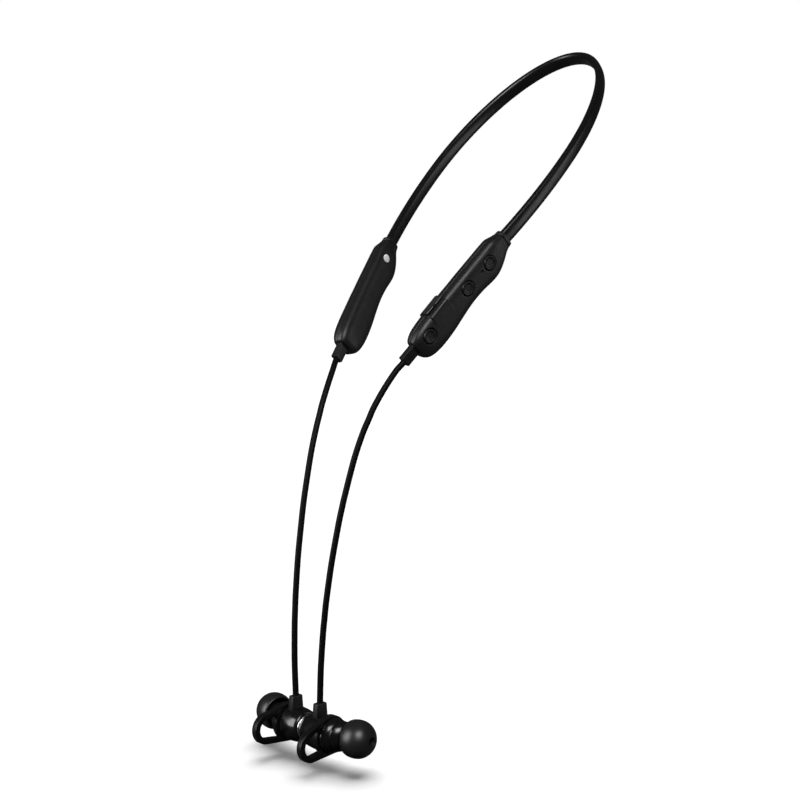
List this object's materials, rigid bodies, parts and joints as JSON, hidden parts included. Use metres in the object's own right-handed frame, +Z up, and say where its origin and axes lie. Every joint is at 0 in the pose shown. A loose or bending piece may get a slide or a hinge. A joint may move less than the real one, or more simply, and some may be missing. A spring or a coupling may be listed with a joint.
{
  "type": "neckband earphones",
  "caption": "Flexible neckband with a battery pod and a button pod, each with a hanging cord to an in-ear bud with a wing loop; the buds join back to back.",
  "frame": {"origin": "the neck rest: the middle of the inner face of the band at the crown of its U, where it bears on the back of the neck", "axes": "+Z up, +X to the wearer's left (the control pod's side), -Y to the wearer's front; the plane of the U slopes down to the front at 45 degrees and the cords hang down"},
  "size_m": [0.0674, 0.1561, 0.246],
  "materials": {
    "band_silicone": "satin silicone",
    "pod_plastic": "soft matte",
    "button_rubber": "matte",
    "flap_rubber": "satin",
    "relief_rubber": "matte",
    "cord_jacket": "satin",
    "bud_gloss": "high gloss",
    "ring_chrome": "polished",
    "tip_silicone": "matte silicone",
    "wing_silicone": "satin silicone",
    "badge_white": "printed",
    "board": "solder mask",
    "cell_foil": "foil pouch",
    "steel": "plain",
    "spring_steel": "bright wire",
    "copper_wire": "insulated bundle",
    "mesh_steel": "fine mesh"
  },
  "bodies": {
    "neckband": {"neckband_sleeve": "band_silicone", "memory_wire": "spring_steel", "band_wires": "copper_wire", "right_outer_shell": "pod_plastic", "right_inner_shell": "pod_plastic", "right_badge": "badge_white", "battery_cell": "cell_foil", "battery_board": "board", "right_relief": "relief_rubber", "left_outer_shell": "pod_plastic", "left_inner_shell": "pod_plastic", "left_badge": "badge_white", "main_board": "board", "upper_switch": "steel", "middle_switch": "steel", "lower_switch": "steel", "charging_socket": "steel", "microphone": "steel", "left_relief": "relief_rubber"},
    "upper_button": {"upper_button": "button_rubber"},
    "middle_button": {"middle_button": "button_rubber"},
    "lower_button": {"lower_button": "button_rubber"},
    "port_flap": {"port_flap": "flap_rubber"},
    "left_bud": {"left_cord": "cord_jacket", "left_collar": "relief_rubber", "left_barrel": "bud_gloss", "left_ring": "ring_chrome", "left_magnet": "steel", "left_driver": "steel", "left_front_housing": "bud_gloss", "left_nozzle_mesh": "mesh_steel"},
    "left_tip": {"left_ear_tip": "tip_silicone"},
    "left_wing": {"left_ear_wing": "wing_silicone"},
    "right_bud": {"right_cord": "cord_jacket", "right_collar": "relief_rubber", "right_barrel": "bud_gloss", "right_ring": "ring_chrome", "right_magnet": "steel", "right_driver": "steel", "right_front_housing": "bud_gloss", "right_nozzle_mesh": "mesh_steel"},
    "right_tip": {"right_ear_tip": "tip_silicone"},
    "right_wing": {"right_ear_wing": "wing_silicone"}
  },
  "joints": [
    {"name": "upper_button_press", "type": "slide", "parent": "neckband", "child": "upper_button", "axis": [-0.9806, 0.1387, 0.1387], "range_m": [0, 0.0004], "stiffness_N_per_m": 1500},
    {"name": "middle_button_press", "type": "slide", "parent": "neckband", "child": "middle_button", "axis": [-0.9806, 0.1387, 0.1387], "range_m": [0, 0.0004], "stiffness_N_per_m": 1500},
    {"name": "lower_button_press", "type": "slide", "parent": "neckband", "child": "lower_button", "axis": [-0.9806, 0.1387, 0.1387], "range_m": [0, 0.0004], "stiffness_N_per_m": 1500},
    {"name": "port_flap_open", "type": "hinge", "parent": "neckband", "child": "port_flap", "pos_m": [0.01979, -0.10429, -0.09872], "axis": [0.9806, -0.1387, -0.1387], "range_deg": [0, 110]},
    {"name": "left_bud_swing", "type": "hinge", "parent": "neckband", "child": "left_bud", "pos_m": [0.0164, -0.11128, -0.11568], "axis": [0, -1, 0], "range_deg": [0, 25]},
    {"name": "left_tip_pull", "type": "slide", "parent": "left_bud", "child": "left_tip", "axis": [0.9877, 0.1564, 0], "range_m": [0, 0.008]},
    {"name": "left_wing_turn", "type": "hinge", "parent": "left_bud", "child": "left_wing", "pos_m": [0.0101, -0.1385, -0.2362], "axis": [1, 0, 0], "range_deg": [-25, 25]},
    {"name": "right_bud_swing", "type": "hinge", "parent": "neckband", "child": "right_bud", "pos_m": [-0.0164, -0.11128, -0.11568], "axis": [0, 1, 0], "range_deg": [0, 25]},
    {"name": "right_tip_pull", "type": "slide", "parent": "right_bud", "child": "right_tip", "axis": [-0.9877, 0.1564, 0], "range_m": [0, 0.008]},
    {"name": "right_wing_turn", "type": "hinge", "parent": "right_bud", "child": "right_wing", "pos_m": [-0.0101, -0.1385, -0.2362], "axis": [-1, 0, 0], "range_deg": [-25, 25]}
  ]
}
